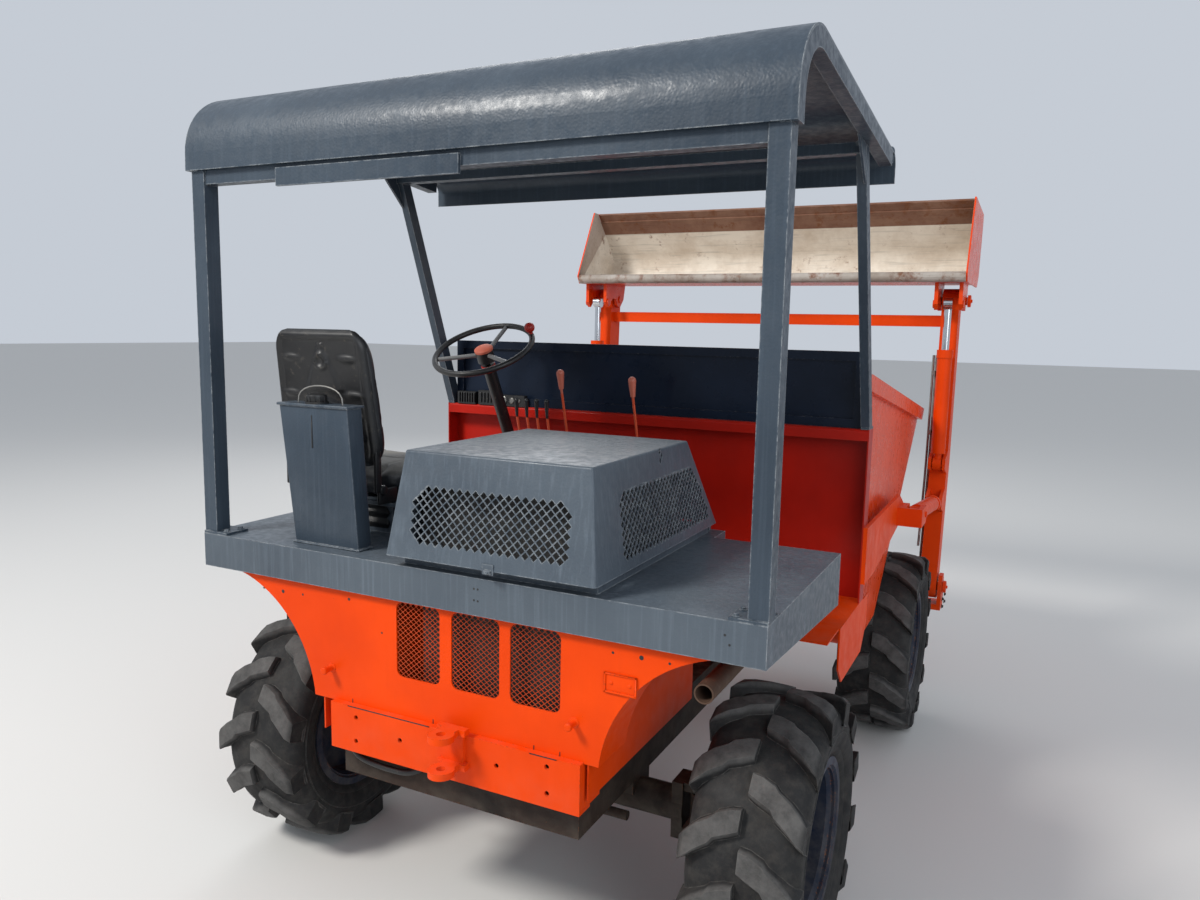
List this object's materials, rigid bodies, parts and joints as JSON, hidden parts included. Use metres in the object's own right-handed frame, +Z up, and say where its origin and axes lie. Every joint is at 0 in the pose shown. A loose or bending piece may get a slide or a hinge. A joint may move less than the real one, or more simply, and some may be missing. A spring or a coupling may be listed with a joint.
{
  "type": "self-loading site dumper",
  "caption": "Site dumper with rear-wheel steering, front tipping skip, engine hood and canopy at the rear, and a shovel on two lift arms that empties into the skip.",
  "frame": {"origin": "on the ground, under the centre of the bounding box", "axes": "+X to the machine's right, +Y to its front (the skip end), +Z up"},
  "size_m": [2.07, 3.52, 2.4778],
  "materials": {
    "orange": "gloss",
    "mesh": "satin",
    "grey_blue": "hammered",
    "navy": "satin",
    "rim": "satin",
    "tyre": "dusty",
    "engine": "matte",
    "vinyl": "satin",
    "black": "satin",
    "chrome": "polished"
  },
  "bodies": {
    "machine": {"rear_panel": "orange", "tow_hitch": "orange", "engine_bay": "orange", "footwell": "orange", "bulkhead": "orange", "chassis_frame": "orange", "lever_console": "orange", "arm_brackets": "orange", "rear_axle": "orange", "front_axle": "orange", "rear_grilles": "mesh", "deck": "grey_blue", "canopy_frame": "grey_blue", "canopy_roof": "grey_blue", "side_tank": "grey_blue", "seat_base": "grey_blue", "guard_panel": "navy", "engine_block": "engine", "exhaust": "engine", "seat_cushion": "vinyl", "seat_back": "vinyl", "steering_column": "black", "dash_boxes": "black", "steering_cylinder": "chrome"},
    "knuckle_left": {"knuckle_left": "orange"},
    "knuckle_right": {"knuckle_right": "orange"},
    "wheel_rear_left": {"tyre_rear_left": "tyre", "rim_rear_left": "rim"},
    "wheel_rear_right": {"tyre_rear_right": "tyre", "rim_rear_right": "rim"},
    "wheel_front_left": {"tyre_front_left": "tyre", "rim_front_left": "rim"},
    "wheel_front_right": {"tyre_front_right": "tyre", "rim_front_right": "rim"},
    "steering_wheel": {"steering_wheel": "black"},
    "hood": {"hood": "grey_blue", "hood_mesh": "grey_blue"},
    "skip": {"skip": "orange"},
    "tip_barrel": {"tip_barrel": "orange"},
    "tip_rod": {"tip_rod": "chrome"},
    "lift_arms": {"lift_arms": "orange"},
    "bucket": {"bucket": "orange"},
    "lift_barrels": {"lift_barrels": "orange"},
    "lift_rods": {"lift_rods": "chrome"},
    "crowd_barrels": {"crowd_barrels": "orange"},
    "crowd_rods": {"crowd_rods": "chrome"}
  },
  "joints": [
    {"name": "steer_left", "type": "hinge", "parent": "machine", "child": "knuckle_left", "pos_m": [-0.6, -1.19, 0.4], "axis": [0, 0, 1], "range_deg": [-28, 28]},
    {"name": "steer_right", "type": "hinge", "parent": "machine", "child": "knuckle_right", "pos_m": [0.6, -1.19, 0.4], "axis": [0, 0, 1], "range_deg": [-28.01, 28.01]},
    {"name": "spin_rear_left", "type": "hinge", "parent": "knuckle_left", "child": "wheel_rear_left", "pos_m": [-0.82, -1.19, 0.4], "axis": [1, 0, 0], "continuous": true},
    {"name": "spin_rear_right", "type": "hinge", "parent": "knuckle_right", "child": "wheel_rear_right", "pos_m": [0.82, -1.19, 0.4], "axis": [1, 0, 0], "continuous": true},
    {"name": "spin_front_left", "type": "hinge", "parent": "machine", "child": "wheel_front_left", "pos_m": [-0.82, 0.66, 0.4], "axis": [1, 0, 0], "continuous": true},
    {"name": "spin_front_right", "type": "hinge", "parent": "machine", "child": "wheel_front_right", "pos_m": [0.82, 0.66, 0.4], "axis": [1, 0, 0], "continuous": true},
    {"name": "turn_steering_wheel", "type": "hinge", "parent": "machine", "child": "steering_wheel", "pos_m": [-0.52, -0.68, 1.715], "axis": [0, -0.4695, 0.8829], "continuous": true},
    {"name": "open_hood", "type": "hinge", "parent": "machine", "child": "hood", "pos_m": [0.158, -0.792, 1.178], "axis": [-1, 0, 0], "range_deg": [0, 60]},
    {"name": "tip_skip", "type": "hinge", "parent": "machine", "child": "skip", "pos_m": [0, 0.64, 0.64], "axis": [-1, 0, 0], "range_deg": [0, 60]},
    {"name": "swing_tip_barrel", "type": "hinge", "parent": "machine", "child": "tip_barrel", "pos_m": [0, -0.36, 0.38], "axis": [-1, 0, 0], "range_deg": [-5.32, 0.01]},
    {"name": "slide_tip_rod", "type": "slide", "parent": "tip_barrel", "child": "tip_rod", "axis": [0, 0.9363, 0.3511], "range_m": [-0.0001, 0.18443]},
    {"name": "lift_arms", "type": "hinge", "parent": "machine", "child": "lift_arms", "pos_m": [0, 1.14, 0.55], "axis": [-1, 0, 0], "range_deg": [0, 93]},
    {"name": "swing_lift_barrels", "type": "hinge", "parent": "machine", "child": "lift_barrels", "pos_m": [0, 0.39, 1.05], "axis": [-1, 0, 0], "range_deg": [-0.01, 16.34]},
    {"name": "slide_lift_rods", "type": "slide", "parent": "lift_barrels", "child": "lift_rods", "axis": [0, 0.9951, -0.0988], "range_m": [-0.0001, 0.56624]},
    {"name": "crowd_bucket", "type": "hinge", "parent": "lift_arms", "child": "bucket", "pos_m": [0, 1.295, 1.97], "axis": [-1, 0, 0], "range_deg": [-60, 38]},
    {"name": "swing_crowd_barrels", "type": "hinge", "parent": "lift_arms", "child": "crowd_barrels", "pos_m": [0, 1.13, 1.17], "axis": [-1, 0, 0], "range_deg": [-1.91, 3.01]},
    {"name": "slide_crowd_rods", "type": "slide", "parent": "crowd_barrels", "child": "crowd_rods", "axis": [0, 0.0128, 0.9999], "range_m": [-0.13241, 0.0839]}
  ],
  "couplings": [
    {"joint": "steer_right", "follows": "steer_left", "ratio": 1},
    {"joint": "swing_tip_barrel", "follows": "tip_skip", "ratio": -0.08854},
    {"joint": "slide_tip_rod", "follows": "tip_skip", "m_per_rad": 0.17602},
    {"joint": "swing_lift_barrels", "follows": "lift_arms", "ratio": 0.17563},
    {"joint": "slide_lift_rods", "follows": "lift_arms", "m_per_rad": 0.34879},
    {"joint": "swing_crowd_barrels", "follows": "crowd_bucket", "ratio": -0.05},
    {"joint": "slide_crowd_rods", "follows": "crowd_bucket", "m_per_rad": 0.12635}
  ]
}
